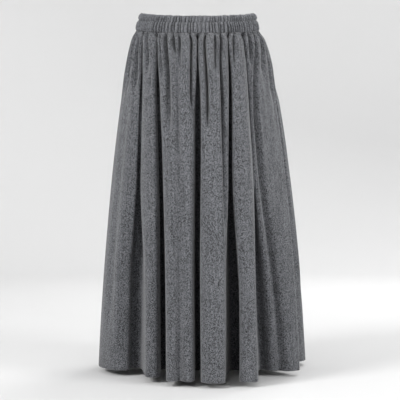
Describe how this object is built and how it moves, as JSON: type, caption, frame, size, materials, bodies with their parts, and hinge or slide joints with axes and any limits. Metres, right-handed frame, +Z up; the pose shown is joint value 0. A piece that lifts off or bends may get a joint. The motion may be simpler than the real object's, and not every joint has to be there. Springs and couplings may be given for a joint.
{
  "type": "gathered midi skirt",
  "caption": "Full gathered midi skirt in grey flannel with an elastic ruffled waistband and deep soft folds, filled out with no wearer.",
  "frame": {"origin": "middle of the waistband, half way up it and at the centre of the waist oval, where a wearer's waist or a dress form holds the skirt", "axes": "+Z up along the wearer, the front faces -Y, +X to the right of someone who looks at the front"},
  "size_m": [0.4786, 0.4826, 0.8021],
  "materials": {
    "grey_flannel": "brushed grey melange wool flannel, matt, with a fine vertical broken twill",
    "waistband_cloth": "the same flannel, gathered over hidden elastic"
  },
  "bodies": {
    "root": {"front_panel": "grey_flannel", "back_panel": "grey_flannel", "waistband": "waistband_cloth"}
  },
  "joints": []
}
